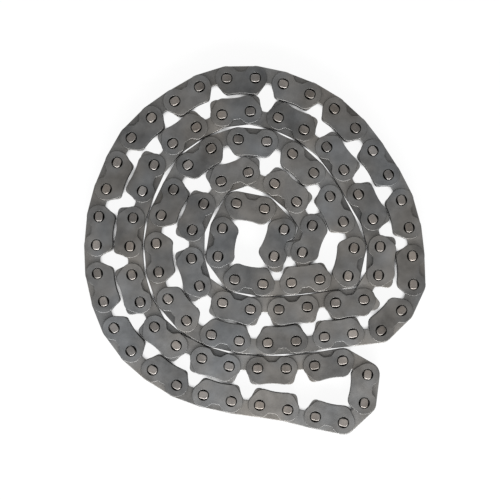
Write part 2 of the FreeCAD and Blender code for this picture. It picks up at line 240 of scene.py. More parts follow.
class ChainSizes(bpy.types.PropertyGroup):
    """Sizes of the plates and pins."""

    eye_radius: FloatProperty(
        name="Eye Radius", description="Radius of a toothed plate's round end",
        default=3.95 * MM, unit="LENGTH", precision=5)
    back_height: FloatProperty(
        name="Back Height", description="Distance from the line of the pins to a toothed plate's back",
        default=4.15 * MM, unit="LENGTH", precision=5)
    toe_depth: FloatProperty(
        name="Toe Depth", description="Depth of the teeth below the line of the pins",
        default=5.5 * MM, unit="LENGTH", precision=5)
    toe_overhang: FloatProperty(
        name="Toe Overhang", description="How far a toe's corner lies outside its pin",
        default=0.75 * MM, unit="LENGTH", precision=5)
    guide_toe_rounding: FloatProperty(
        name="Guide Toe Rounding", description="Radius of a guide plate's outer toe corner",
        default=2.8 * MM, unit="LENGTH", precision=5)
    toe_rounding: FloatProperty(
        name="Toe Rounding", description="Radius of a toe's outer corner",
        default=2.4 * MM, unit="LENGTH", precision=5)
    toe_width: FloatProperty(
        name="Toe Width", description="Width of the flat end of a tooth",
        default=2.6 * MM, unit="LENGTH", precision=5)
    toe_inner_rounding: FloatProperty(
        name="Toe Inner Rounding", description="Radius of a toe's inner corner",
        default=1.5 * MM, unit="LENGTH", precision=5)
    crotch_depth: FloatProperty(
        name="Crotch Depth", description="Distance from the line of the pins to the crotch",
        default=0.95 * MM, unit="LENGTH", precision=5)
    crotch_width: FloatProperty(
        name="Crotch Width", description="Width of the crotch at its root",
        default=2.3 * MM, unit="LENGTH", precision=5)
    crotch_rounding: FloatProperty(
        name="Crotch Rounding", description="Radius of the corners at the crotch's root",
        default=1.05 * MM, unit="LENGTH", precision=5)
    guide_eye_radius: FloatProperty(
        name="Guide Eye Radius", description="Radius of a guide plate's round end",
        default=3.85 * MM, unit="LENGTH", precision=5)
    guide_back_height: FloatProperty(
        name="Guide Back Height", description="Distance from the line of the pins to a guide plate's back",
        default=3.9 * MM, unit="LENGTH", precision=5)
    guide_toe_depth: FloatProperty(
        name="Guide Toe Depth", description="Depth of a guide plate's toes below the line of the pins",
        default=5.4 * MM, unit="LENGTH", precision=5)
    guide_toe_width: FloatProperty(
        name="Guide Toe Width", description="Width of a guide plate's toe, up to the hollow",
        default=1.6 * MM, unit="LENGTH", precision=5)
    base_hollow: FloatProperty(
        name="Guide Base Hollow", description="Depth of the hollow between a guide plate's toes",
        default=0.35 * MM, unit="LENGTH", precision=5)
    notch_floor_height: FloatProperty(
        name="Notch Floor Height", description="Distance from the line of the pins to the notch",
        default=2.15 * MM, unit="LENGTH", precision=5)
    notch_floor_width: FloatProperty(
        name="Notch Floor Width", description="Width of the floor of the notch in the back",
        default=2.4 * MM, unit="LENGTH", precision=5)
    notch_wall_offset: FloatProperty(
        name="Notch Wall Offset", description="Distance along the link to the top of the notch",
        default=1.8 * MM, unit="LENGTH", precision=5)
    notch_rounding: FloatProperty(
        name="Notch Rounding", description="Radius of the corners of the notch's floor",
        default=0.7 * MM, unit="LENGTH", precision=5)
    back_rounding: FloatProperty(
        name="Back Rounding", description="Radius where the notch meets the back",
        default=1.1 * MM, unit="LENGTH", precision=5)
    edge_round: FloatProperty(
        name="Edge Rounding", description="Radius that tumbling has left on the plates' edges",
        default=0.14 * MM, unit="LENGTH", precision=5)
    pin_radius: FloatProperty(
        name="Pin Radius", description="Radius of a pin's shank",
        default=1.6 * MM, unit="LENGTH", precision=5)
    pin_clearance: FloatProperty(
        name="Pin Clearance", description="Gap between a pin and a toothed plate's bore",
        default=0.06 * MM, unit="LENGTH", precision=5)
    countersink: FloatProperty(
        name="Countersink", description="Depth of the countersink round a riveted pin",
        default=0.3 * MM, unit="LENGTH", precision=5)
    head_length: FloatProperty(
        name="Head Length", description="Width of a pin's riveted end along its link",
        default=3.26 * MM, unit="LENGTH", precision=5)
    head_width: FloatProperty(
        name="Head Width", description="Width of a pin's riveted end across its two flats",
        default=2.62 * MM, unit="LENGTH", precision=5)
    head_squareness: FloatProperty(
        name="Head Squareness", description="How far riveting has squared a pin's end",
        default=0.6, min=0, max=1, subtype="FACTOR")


class ChainFinish(bpy.types.PropertyGroup):
    """Colours of the steel and its wear, and of the highlight and shade painted on it."""

    guide_steel: FloatVectorProperty(
        name="Guide Plate Steel", description="Colour of the guide plates' faces",
        default=(0.134, 0.133, 0.131), subtype="COLOR", min=0, max=1)
    toothed_steel: FloatVectorProperty(
        name="Toothed Plate Steel", description="Colour of the toothed plates' faces",
        default=(0.162, 0.159, 0.154), subtype="COLOR", min=0, max=1)
    pin_steel: FloatVectorProperty(
        name="Pin Steel", description="Colour of the pins' riveted ends",
        default=(0.189, 0.172, 0.158), subtype="COLOR", min=0, max=1)
    # Burnish is partly edge wear and partly a painted highlight: every rim is lightened towards it, whichever way
    # the light falls.
    burnish_and_highlight: FloatVectorProperty(
        name="Burnish And Highlight", description="Colour of edges rubbed bright",
        default=(0.46, 0.45, 0.43), subtype="COLOR", min=0, max=1)
    # Painted shade: walls, bores, countersinks and pin shanks are darkened towards this colour, where shadow falls
    # between the parts.
    painted_shade_colour: FloatVectorProperty(
        name="Painted Shade Colour", description="Colour of the dark film left in crevices",
        default=(0.018, 0.017, 0.016), subtype="COLOR", min=0, max=1)
    tone_spread: FloatProperty(
        name="Tone Spread", description="How much the plates differ in brightness",
        default=0.42, min=0, max=1, subtype="FACTOR")
    seed: IntProperty(
        name="Seed", description="Seed of the differences from piece to piece", default=7, min=0)


class ChainStage(bpy.types.PropertyGroup):
    """Floor, lamps and camera."""

    floor: FloatVectorProperty(
        name="Floor", description="Colour of the floor",
        default=(0.9, 0.9, 0.9), subtype="COLOR", min=0, max=1)
    world_level: FloatProperty(
        name="World Level", description="Brightness of the room", default=0.5, min=0)
    camera_height: FloatProperty(
        name="Camera Height", description="Height of the camera above the pins",
        default=1.1, unit="LENGTH")
    picture_width: FloatProperty(
        name="Picture Width", description="Width of the picture at the height of the pins",
        default=0.16667, unit="LENGTH", precision=5)
    picture_middle: FloatVectorProperty(
        name="Picture Middle", description="Place of the picture's middle, from the coil's middle",
        default=(-1.65 * MM, 0.09 * MM), size=2, subtype="XYZ", unit="LENGTH", precision=5)


def sizes():
    return bpy.context.scene.chain_sizes


def finish_settings():
    return bpy.context.scene.chain_finish


def stage_settings():
    return bpy.context.scene.chain_stage


# Outlines, seen along the pins, with the link along +X and its teeth to -Y

ARC_TOLERANCE = 0.03 * MM
SAME_POINT = 0.001 * MM


def rounded_outline(corners):
    """Points round straight sides whose corners, given as x, y and radius, are rounded."""
    points = []
    for index, (x, y, radius) in enumerate(corners):
        corner = Vector((x, y))
        back = (Vector(corners[index - 1][:2]) - corner).normalized()
        ahead = (Vector(corners[(index + 1) % len(corners)][:2]) - corner).normalized()
        half_angle = back.angle(ahead) / 2
        centre = corner + (back + ahead).normalized() * radius / math.sin(half_angle)
        start = corner + back * radius / math.tan(half_angle) - centre
        end = corner + ahead * radius / math.tan(half_angle) - centre
        start_angle = math.atan2(start.y, start.x)
        turn = math.remainder(math.atan2(end.y, end.x) - start_angle, 2 * math.pi)
        steps = max(2, math.ceil(abs(turn) / (2 * math.acos(1 - ARC_TOLERANCE / radius))))
        for step in range(steps + 1):
            angle = start_angle + turn * step / steps
            point = centre + Vector((math.cos(angle), math.sin(angle))) * radius
            if not points or (point - points[-1]).length > SAME_POINT:
                points.append(point)
    if (points[0] - points[-1]).length <= SAME_POINT:
        points.pop()
    return points


def mirrored_along_link(half, middle=()):
    """Corners from the back to the teeth, what lies between the teeth, and back again."""
    return half + list(middle) + [(PITCH - x, y, radius) for x, y, radius in reversed(half)]


def eye_and_toe(eye_radius, back_height, toe_depth, toe_rounding):
    """Corners from the back, round the eye, along the flank that touches it, to the toe."""
    s = sizes()
    toe_distance = math.hypot(s.toe_overhang, toe_depth)
    toe_angle = math.atan2(toe_depth, -s.toe_overhang)
    touch_angle = toe_angle + math.acos(eye_radius / toe_distance)
    shoulder = eye_radius * math.tan((math.pi - touch_angle) / 2)
    return [
        (-eye_radius, back_height, eye_radius),
        (-eye_radius, -shoulder, eye_radius),
        (-s.toe_overhang, -toe_depth, toe_rounding),
    ]


def toothed_outline():
    """Straight back and two teeth, with a round-cornered crotch between them."""
    s = sizes()
    eye = eye_and_toe(s.eye_radius, s.back_height, s.toe_depth, s.toe_rounding)
    return rounded_outline(mirrored_along_link(eye + [
        (s.toe_width - s.toe_overhang, -s.toe_depth, s.toe_inner_rounding),
        ((PITCH - s.crotch_width) / 2, -s.crotch_depth, s.crotch_rounding),
    ]))


def guide_outline():
    """Notched back, and a shallow hollow in place of the crotch."""
    s = sizes()
    hollow_span = PITCH / 2 - s.guide_toe_width + s.toe_overhang
    hollow_depth = 2 * s.base_hollow
    slope = math.atan2(hollow_depth, hollow_span)
    hollow_side = math.hypot(hollow_span, hollow_depth) - s.toe_inner_rounding * math.tan(slope / 2)
    hollow_radius = hollow_side / math.tan(slope)
    half = [
        ((PITCH - s.notch_floor_width) / 2, s.notch_floor_height, s.notch_rounding),
        (s.notch_wall_offset, s.guide_back_height, s.back_rounding),
    ]
    half += eye_and_toe(
        s.guide_eye_radius, s.guide_back_height, s.guide_toe_depth, s.guide_toe_rounding)
    half.append((s.guide_toe_width - s.toe_overhang, -s.guide_toe_depth, s.toe_inner_rounding))
    hollow = [(PITCH / 2, hollow_depth - s.guide_toe_depth, hollow_radius)]
    return rounded_outline(mirrored_along_link(half, hollow))


# Patterns: one mesh of each kind of plate and pin, with its lowest face at z = 0

BORE_SIDES = 16
PIN_SIDES = 16
BEVEL_SHARE = 1 - math.sqrt(0.5)
SINK_CHAMFER = 0.05 * MM

# Each ring of a pattern gets these shares of rub, partly wear and partly painted highlight, and of painted shade
UNMARKED = (0, 0)
FULLY_SHADED = (0, 1)
LOWER_WALL = (0, 0.3)
UPPER_WALL = (0.1, 0.35)
BEVEL = (0.3, 0.1)
# The countersink's rim is darkened with painted shade, standing in for the ring of shadow round each pin
SINK_RIM = (0.1, 0.75)

# A pin's end: depth below its face, share of its full width, its rub (partly wear, partly a painted highlight on
# the rim) and its painted shade
PIN_END = (
    (0.0, 0.84, 0.05, 0.05),
    (0.05 * MM, 0.94, 0.5, 0.0),
    (0.20 * MM, 0.99, 0.4, 0.2),
    (0.50 * MM, 1.0, *FULLY_SHADED),
)


class Pattern:
    """A mesh in the making, with a mask for rubbed edges, partly wear and partly painted highlight, and one for
    painted shade.
    """

    def __init__(self):
        self.mesh = bmesh.new()
        self.rub_and_highlight = self.mesh.verts.layers.float.new("rub_and_highlight")
        self.painted_shade = self.mesh.verts.layers.float.new("painted_shade")

    def ring(self, points, height, rub_and_highlight, painted_shade):
        corners = []
        for point in points:
            corner = self.mesh.verts.new((point.x, point.y, height))
            corner[self.rub_and_highlight] = rub_and_highlight
            corner[self.painted_shade] = painted_shade
            corners.append(corner)
        return corners

    def strip(self, lower, upper):
        for index in range(len(lower)):
            after = (index + 1) % len(lower)
            face = self.mesh.faces.new((lower[index], lower[after], upper[after], upper[index]))
            face.smooth = True

    def flat(self, corners):
        self.mesh.faces.new(corners)

    def object(self, name):
        """The finished pattern, with faces that point outwards and a map of its plan."""
        bmesh.ops.recalc_face_normals(self.mesh, faces=self.mesh.faces)
        plan = self.mesh.loops.layers.uv.new("plan")
        for face in self.mesh.faces:
            for loop in face.loops:
                loop[plan].uv = (loop.vert.co.x / PITCH, loop.vert.co.y / PITCH)
        data = bpy.data.meshes.new(name)
        self.mesh.to_mesh(data)
        self.mesh.free()
        made = bpy.data.objects.new(name, data)
        bpy.context.scene.collection.objects.link(made)
        return made


def inward(points):
    """At each point of an outline, the step that moves both of its sides in by one unit."""
    steps = []
    for index, point in enumerate(points):
        before = (point - points[index - 1]).normalized()
        after = (points[(index + 1) % len(points)] - point).normalized()
        side = (Vector((-before.y, before.x)) + Vector((-after.y, after.x))).normalized()
        steps.append(side / side.dot(Vector((-before.y, before.x))))
    return steps


def circle(centre_x, radius, sides):
    return [
        Vector((centre_x + radius * math.cos(k * math.tau / sides),
                radius * math.sin(k * math.tau / sides)))
        for k in range(sides)
    ]


def bored_face(pattern, outline_ring, bore_rings, outline):
    """A flat face round both bores, in two halves that meet on the line of the pins."""
    count = len(outline)
    on_line = [k for k in range(count) if abs(outline[k].y) < SAME_POINT]
    left = min(on_line, key=lambda k: outline[k].x)
    right = max(on_line, key=lambda k: outline[k].x)
    half = BORE_SIDES // 2
    below = [outline_ring[(left + k) % count] for k in range((right - left) % count + 1)]
    above = [outline_ring[(right + k) % count] for k in range((left - right) % count + 1)]
    for bore in reversed(bore_rings):
        below += [bore[-k % BORE_SIDES] for k in range(half + 1)]
    for bore in bore_rings:
        above += [bore[half - k] for k in range(half + 1)]
    pattern.flat(below)
    pattern.flat(above)


def plate_pattern(name, outline, thickness, bore_radius, sink, outer_side_up=True):
    """A plate with a bore round each pin, rounded and countersunk on its outer side."""
    pattern = Pattern()
    steps = inward(outline)
    rounding = sizes().edge_round

    def at(height):
        return height if outer_side_up else thickness - height

    edge = [
        (0, 0, *LOWER_WALL),
        (thickness - rounding, 0, *UPPER_WALL),
        (thickness - rounding * BEVEL_SHARE, rounding * BEVEL_SHARE, *BEVEL),
        (thickness, rounding, *UNMARKED),
    ]
    rings = []
    for height, inset, rub_and_highlight, painted_shade in edge:
        points = [point + step * inset for point, step in zip(outline, steps)]
        rings.append(pattern.ring(points, at(height), rub_and_highlight, painted_shade))
    for lower, upper in zip(rings, rings[1:]):
        pattern.strip(lower, upper)
    bore = [(0, bore_radius, *UNMARKED)]
    if sink:
        bore.append((thickness - sink, bore_radius, *FULLY_SHADED))
        bore.append((thickness - SINK_CHAMFER, bore_radius + sink, *SINK_RIM))
        bore.append((thickness, bore_radius + sink + SINK_CHAMFER, *UNMARKED))
    else:
        bore.append((thickness, bore_radius, *UNMARKED))
    bores = []
    for centre in (0, PITCH):
        walls = [
            pattern.ring(circle(centre, radius, BORE_SIDES), at(height), rub_and_highlight, painted_shade)
            for height, radius, rub_and_highlight, painted_shade in bore
        ]
        for lower, upper in zip(walls, walls[1:]):
            pattern.strip(upper, lower)
        bores.append(walls)
    bored_face(pattern, rings[0], [walls[0] for walls in bores], outline)
    bored_face(pattern, rings[-1], [walls[-1] for walls in bores], outline)
    return pattern.object(name)


def squared_oval(half_length, half_width, squareness, sides):
    """An oval drawn out towards the corners of a rectangle: a circle if it isn't squared."""
    points = []
    power = 2 + 2 * squareness
    for k in range(sides):
        angle = k * math.tau / sides
        stretch = (abs(math.cos(angle)) ** power + abs(math.sin(angle)) ** power) ** (1 / power)
        points.append(Vector((
            math.cos(angle) * half_length / stretch, math.sin(angle) * half_width / stretch)))
    return points


def pin_pattern(name, length, head_below, head_above):
    """A pin whose ends have two flats along the link, with a highlight painted on the rim as rub, and painted
    shade on the shank.
    """
    pattern = Pattern()
    s = sizes()
    shank = (s.pin_radius, s.pin_radius, 0)

    def head(share):
        return (s.head_length / 2 * share, s.head_width / 2 * share, s.head_squareness)

    end = [(depth, head(share), rub_and_highlight, painted_shade) for depth, share, rub_and_highlight, painted_shade in PIN_END]
    if head_below and head_above:
        end.append((STUB_LENGTH, shank, *FULLY_SHADED))
    profile = list(end) if head_below else [(0.0, shank, *FULLY_SHADED)]
    if head_above:
        profile += [(length - depth, *rest) for depth, *rest in reversed(end)]
    else:
        profile.append((length, shank, *FULLY_SHADED))
    rings = [
        pattern.ring(squared_oval(*shape, PIN_SIDES), height, rub_and_highlight, painted_shade)
        for height, shape, rub_and_highlight, painted_shade in profile
    ]
    for lower, upper in zip(rings, rings[1:]):
        pattern.strip(lower, upper)
    pattern.flat(rings[0][::-1])
    pattern.flat(rings[-1])
    return pattern.object(name)


UPPER_GUIDE, LOWER_GUIDE, TOOTHED, WHOLE_PIN, LOWER_STUB, MIDDLE_STUB, UPPER_STUB = range(7)
PATTERN_NAMES = (
    "Upper Guide Plate", "Lower Guide Plate", "Toothed Plate", "Whole Pin",
    "Lower Pin Stub", "Middle Pin Stub", "Upper Pin Stub",
)


def make_patterns():
    s = sizes()
    guide = guide_outline()
    toothed = toothed_outline()
    return {
        UPPER_GUIDE: plate_pattern(
            "upper_guide_pattern", guide, GUIDE_THICKNESS, s.pin_radius, s.countersink),
        LOWER_GUIDE: plate_pattern(
            "lower_guide_pattern", guide, GUIDE_THICKNESS, s.pin_radius, s.countersink, False),
        TOOTHED: plate_pattern(
            "toothed_pattern", toothed, TOOTHED_THICKNESS, s.pin_radius + s.pin_clearance, 0),
        WHOLE_PIN: pin_pattern("whole_pin_pattern", PIN_LENGTH, True, True),
        LOWER_STUB: pin_pattern("lower_stub_pattern", STUB_LENGTH, True, False),
        MIDDLE_STUB: pin_pattern("middle_stub_pattern", TOOTHED_THICKNESS, False, False),
        UPPER_STUB: pin_pattern("upper_stub_pattern", STUB_LENGTH, False, True),
    }


# Steel

# Numbers of a Mix node's colour sockets
MIX_A, MIX_B, MIX_RESULT = 6, 7, 2

# Patches, grain and tint: how large and how fine they are
PATCH_SCALE, PATCH_DETAIL, PATCH_ROUGHNESS = 140.0, 4.0, 0.6
GRAIN_SCALE, GRAIN_DETAIL, GRAIN_ROUGHNESS = 5200.0, 2.0, 0.6
TINT_SCALE_SHARE, TINT_DETAIL, TINT_ROUGHNESS = 0.45, 2.0, 0.55
NOISE_LOW, NOISE_HIGH = 0.3, 0.7

# What they change: brightness, tint, rub with its painted highlight, painted shade, gloss and height
PATCH_TONE, GRAIN_TONE = 0.20, 0.07
TINT_LOW, TINT_HIGH = 0.35, 0.65
COOL_TINT, WARM_TINT = (0.965, 1.0, 1.045, 1), (1.04, 1.0, 0.955, 1)
HIGHLIGHT_RUB_LOW, HIGHLIGHT_RUB_HIGH, LEAST_HIGHLIGHT_RUB = 0.35, 0.6, 0.35
SHADE_LOW, SHADE_HIGH, LEAST_SHADE = 0.2, 0.6, 0.75
PATCH_GLOSS, PATCH_DULL, RUB_GLOSS = -0.05, 0.06, 0.10
PATCH_HEIGHT_SHARE = 0.6
RELIEF_DEPTH = 0.02 * MM


class Shader:
    """A node tree in the making."""

    def __init__(self, tree):
        self.tree = tree

    def node(self, kind, **settings):
        made = self.tree.nodes.new(kind)
        for name, value in settings.items():
            setattr(made, name, value)
        return made

    def link(self, source, target):
        self.tree.links.new(source, target)

    def feed(self, target, value):
        """Link an output to an input, or set the input's own value."""
        if isinstance(value, bpy.types.NodeSocket):
            self.link(value, target)
        else:
            target.default_value = value

    def math(self, operation, a, b=0.0, clamp=False):
        made = self.node("ShaderNodeMath", operation=operation, use_clamp=clamp)
        self.feed(made.inputs[0], a)
        self.feed(made.inputs[1], b)
        return made.outputs[0]

    def mix(self, factor, a, b, blend="MIX"):
        made = self.node("ShaderNodeMix", data_type="RGBA", blend_type=blend)
        self.feed(made.inputs["Factor"], factor)
        self.feed(made.inputs[MIX_A], a)
        self.feed(made.inputs[MIX_B], b)
        return made.outputs[MIX_RESULT]

    def spread(self, value, low, high, new_low=0.0, new_high=1.0):
        made = self.node("ShaderNodeMapRange")
        for name, setting in (
            ("Value", value), ("From Min", low), ("From Max", high),
            ("To Min", new_low), ("To Max", new_high),
        ):
            self.feed(made.inputs[name], setting)
        return made.outputs[0]

    def noise(self, place, scale, detail, roughness):
        made = self.node("ShaderNodeTexNoise")
        self.feed(made.inputs["Vector"], place)
        self.feed(made.inputs["Scale"], scale)
        self.feed(made.inputs["Detail"], detail)
        self.feed(made.inputs["Roughness"], roughness)
        return made.outputs[0]


def new_group(name, inputs, outputs):
    """A shader node group with its sockets, ready for its nodes."""
    tree = bpy.data.node_groups.new(name, "ShaderNodeTree")
    for label, kind, default in inputs:
        socket = tree.interface.new_socket(name=label, in_out="INPUT", socket_type=kind)
        socket.default_value = default
    for label, kind in outputs:
        tree.interface.new_socket(name=label, in_out="OUTPUT", socket_type=kind)
    shader = Shader(tree)
    entry = shader.node("NodeGroupInput")
    leave = shader.node("NodeGroupOutput")
    return shader, entry.outputs, leave.inputs


def tumbled_steel_group():
    """Colour, roughness and height of sheared and tumbled steel, with rub that is partly wear and partly painted
    highlight, and painted shade.
    """
    shader, given, out = new_group(
        "Tumbled Steel",
        [
            ("Steel", "NodeSocketColor", (0.15, 0.145, 0.14, 1)),
            ("Burnish And Highlight", "NodeSocketColor", (0.45, 0.44, 0.42, 1)),
            ("Painted Shade Colour", "NodeSocketColor", (0.01, 0.01, 0.01, 1)),
            ("Tone", "NodeSocketFloat", 0.5),
            ("Tone Spread", "NodeSocketFloat", 0.2),
            ("Rub And Highlight", "NodeSocketFloat", 0.0),
            ("Painted Shade", "NodeSocketFloat", 0.0),
            ("Roughness", "NodeSocketFloat", 0.42),
            ("Patch Scale", "NodeSocketFloat", PATCH_SCALE),
            ("Grain Scale", "NodeSocketFloat", GRAIN_SCALE),
        ],
        [
            ("Color", "NodeSocketColor"), ("Roughness", "NodeSocketFloat"),
            ("Height", "NodeSocketFloat"),
        ],
    )
    place = shader.node("ShaderNodeTexCoord").outputs["Object"]
    patch = shader.noise(place, given["Patch Scale"], PATCH_DETAIL, PATCH_ROUGHNESS)
    grain = shader.noise(place, given["Grain Scale"], GRAIN_DETAIL, GRAIN_ROUGHNESS)
    tint_scale = shader.math("MULTIPLY", given["Patch Scale"], TINT_SCALE_SHARE)
    warm = shader.noise(place, tint_scale, TINT_DETAIL, TINT_ROUGHNESS)

    def spread_noise(noise, low, high):
        return shader.spread(noise, NOISE_LOW, NOISE_HIGH, low, high)

    lift = shader.math("MULTIPLY", shader.math("SUBTRACT", given["Tone"], 0.5), given["Tone Spread"])
    lift = shader.math("ADD", lift, spread_noise(patch, -PATCH_TONE, PATCH_TONE))
    lift = shader.math("ADD", lift, spread_noise(grain, -GRAIN_TONE, GRAIN_TONE))
    level = shader.math("ADD", lift, 1.0)
    scaled = shader.node("ShaderNodeVectorMath", operation="SCALE")
    shader.link(given["Steel"], scaled.inputs[0])
    shader.link(level, scaled.inputs["Scale"])
    tint = shader.mix(shader.spread(warm, TINT_LOW, TINT_HIGH), COOL_TINT, WARM_TINT)
    steel = shader.mix(1.0, scaled.outputs[0], tint, "MULTIPLY")

    # Rub lightens the steel towards the burnish colour: partly wear, partly a painted highlight
    rub_highlight_patches = shader.spread(patch, HIGHLIGHT_RUB_LOW, HIGHLIGHT_RUB_HIGH, LEAST_HIGHLIGHT_RUB)
    rubbed_and_highlighted = shader.math("MULTIPLY", given["Rub And Highlight"], rub_highlight_patches, True)
    steel = shader.mix(rubbed_and_highlighted, steel, given["Burnish And Highlight"])
    # Painted shade: the crevice mask darkens the steel towards a near-black colour
    shade_patches = shader.spread(grain, SHADE_LOW, SHADE_HIGH, LEAST_SHADE)
    painted_shade_share = shader.math("MULTIPLY", given["Painted Shade"], shade_patches, True)
    steel = shader.mix(painted_shade_share, steel, given["Painted Shade Colour"])
    shader.link(steel, out["Color"])

    rough = shader.math("ADD", given["Roughness"], spread_noise(patch, PATCH_GLOSS, PATCH_DULL))
    rough = shader.math("SUBTRACT", rough, shader.math("MULTIPLY", rubbed_and_highlighted, RUB_GLOSS))
    shader.link(shader.math("ADD", rough, 0.0, True), out["Roughness"])
    relief = shader.math("MULTIPLY", patch, PATCH_HEIGHT_SHARE)
    shader.link(shader.math("ADD", grain, relief), out["Height"])
    return shader.tree


def steel_material(name, group, colour, roughness, spread, bump):
    """Brushed steel of one colour, with each piece's own tone and its masks."""
    f = finish_settings()
    material = bpy.data.materials.new(name)
    material.use_nodes = True
    shader = Shader(material.node_tree)
    surface = material.node_tree.nodes["Principled BSDF"]
    surface.inputs["Metallic"].default_value = 1.0
    skin = shader.node("ShaderNodeGroup", node_tree=group)
    for label, attribute in (("Tone", "tone"), ("Rub And Highlight", "rub_and_highlight"), ("Painted Shade", "painted_shade")):
        mask = shader.node("ShaderNodeAttribute", attribute_name=attribute)
        shader.link(mask.outputs["Fac"], skin.inputs[label])
    skin.inputs["Steel"].default_value = (*colour, 1)
    skin.inputs["Burnish And Highlight"].default_value = (*f.burnish_and_highlight, 1)
    skin.inputs["Painted Shade Colour"].default_value = (*f.painted_shade_colour, 1)
    skin.inputs["Tone Spread"].default_value = spread
    skin.inputs["Roughness"].default_value = roughness
    relief = shader.node("ShaderNodeBump")
    relief.inputs["Strength"].default_value = bump
    relief.inputs["Distance"].default_value = RELIEF_DEPTH
    shader.link(skin.outputs["Height"], relief.inputs["Height"])
    shader.link(skin.outputs["Color"], surface.inputs["Base Color"])
    shader.link(skin.outputs["Roughness"], surface.inputs["Roughness"])
    shader.link(relief.outputs["Normal"], surface.inputs["Normal"])
    return material


GUIDE_STEEL, TOOTHED_STEEL, PIN_STEEL = range(3)
STEEL_NAMES = ("Guide Plate Steel", "Toothed Plate Steel", "Pin Steel")
STEEL_OF = {
    UPPER_GUIDE: GUIDE_STEEL, LOWER_GUIDE: GUIDE_STEEL, TOOTHED: TOOTHED_STEEL,
    WHOLE_PIN: PIN_STEEL, LOWER_STUB: PIN_STEEL, MIDDLE_STUB: PIN_STEEL, UPPER_STUB: PIN_STEEL,
}

# For each steel: its roughness, its share of the tone spread, and the strength of its relief
STEEL_FINISH = {
    GUIDE_STEEL: (0.42, 1.0, 0.5),
    TOOTHED_STEEL: (0.38, 1.0, 0.4),
    PIN_STEEL: (0.34, 1.6, 0.6),
}


def make_steels():
    f = finish_settings()
    group = tumbled_steel_group()
    colours = {GUIDE_STEEL: f.guide_steel, TOOTHED_STEEL: f.toothed_steel, PIN_STEEL: f.pin_steel}
    steels = {}
    for steel, (roughness, spread_share, relief) in STEEL_FINISH.items():
        steels[steel] = steel_material(
            STEEL_NAMES[steel].capitalize(), group, colours[steel], roughness,
            f.tone_spread * spread_share, relief)
    return steels


# Laying the pieces

PIN_TURN = math.radians(3)

# Numbers of a Compare node's whole-number sockets and a Random Value node's decimal ones
WHOLE_A, WHOLE_B = 2, 3
DECIMAL_LOW, DECIMAL_HIGH, DECIMAL_RESULT = 2, 3, 1


def piece_tree():
    """Geometry nodes that set a pattern on each point and give it its steel."""
    tree = bpy.data.node_groups.new("Lay Chain Pieces", "GeometryNodeTree")
    shader = Shader(tree)
    face = tree.interface
    face.new_socket(name="Points", in_out="INPUT", socket_type="NodeSocketGeometry")
    for name in PATTERN_NAMES:
        face.new_socket(name=name, in_out="INPUT", socket_type="NodeSocketObject")
    for name in STEEL_NAMES:
        face.new_socket(name=name, in_out="INPUT", socket_type="NodeSocketMaterial")
    face.new_socket(name="Pin Turn", in_out="INPUT", socket_type="NodeSocketFloat")
    face.new_socket(name="Seed", in_out="INPUT", socket_type="NodeSocketInt")
    face.new_socket(name="Pieces", in_out="OUTPUT", socket_type="NodeSocketGeometry")
    entry = shader.node("NodeGroupInput").outputs
    leave = shader.node("NodeGroupOutput").inputs

    def attribute(name, data_type):
        made = shader.node("GeometryNodeInputNamedAttribute", data_type=data_type)
        made.inputs["Name"].default_value = name
        return made.outputs["Attribute"]

    def equals(value, number):
        made = shader.node("FunctionNodeCompare", data_type="INT", operation="EQUAL")
        shader.link(value, made.inputs[WHOLE_A])
        made.inputs[WHOLE_B].default_value = number
        return made.outputs["Result"]

    def random(low, high):
        made = shader.node("FunctionNodeRandomValue", data_type="FLOAT")
        shader.feed(made.inputs[DECIMAL_LOW], low)
        shader.feed(made.inputs[DECIMAL_HIGH], high)
        shader.link(entry["Seed"], made.inputs["Seed"])
        return made.outputs[DECIMAL_RESULT]

    points = shader.node("GeometryNodeMeshToPoints")
    shader.link(entry["Points"], points.inputs["Mesh"])
    toned = shader.node("GeometryNodeStoreNamedAttribute", data_type="FLOAT", domain="POINT")
    shader.link(points.outputs[0], toned.inputs["Geometry"])
    toned.inputs["Name"].default_value = "tone"
    shader.link(random(0.0, 1.0), toned.inputs["Value"])

    pattern = attribute("pattern", "INT")
    heading = attribute("heading", "FLOAT")
    swung = shader.math("SUBTRACT", 0.0, entry["Pin Turn"])
    turned = shader.math("ADD", heading, random(swung, entry["Pin Turn"]))
    joined = shader.node("GeometryNodeJoinGeometry")
    for number, name in enumerate(PATTERN_NAMES):
        info = shader.node("GeometryNodeObjectInfo")
        info.inputs["As Instance"].default_value = True
        shader.link(entry[name], info.inputs["Object"])
        turn = shader.node("ShaderNodeCombineXYZ")
        shader.link(heading if STEEL_OF[number] != PIN_STEEL else turned, turn.inputs["Z"])
        laid = shader.node("GeometryNodeInstanceOnPoints")
        shader.link(toned.outputs[0], laid.inputs["Points"])
        shader.link(equals(pattern, number), laid.inputs["Selection"])
        shader.link(info.outputs["Geometry"], laid.inputs["Instance"])
        shader.link(turn.outputs[0], laid.inputs["Rotation"])
        shader.link(laid.outputs[0], joined.inputs[0])
    made_real = shader.node("GeometryNodeRealizeInstances")
    shader.link(joined.outputs[0], made_real.inputs[0])
    last = made_real.outputs[0]
    steel = attribute("steel", "INT")
    for number, name in enumerate(STEEL_NAMES):
        painted = shader.node("GeometryNodeSetMaterial")
        shader.link(last, painted.inputs["Geometry"])
        shader.link(equals(steel, number), painted.inputs["Selection"])
        shader.link(entry[name], painted.inputs["Material"])
        last = painted.outputs[0]
    shader.link(last, leave["Pieces"])
    return tree


def pattern_of_plate(node, slab):
    if "toothed" in node or "middle" in node:
        return TOOTHED
    for number, guide in ((LOWER_GUIDE, GUIDE_SLABS[0]), (UPPER_GUIDE, GUIDE_SLABS[1])):
        if abs(slab[0] - guide[0]) < SAME_HEIGHT:
            return number
    return TOOTHED


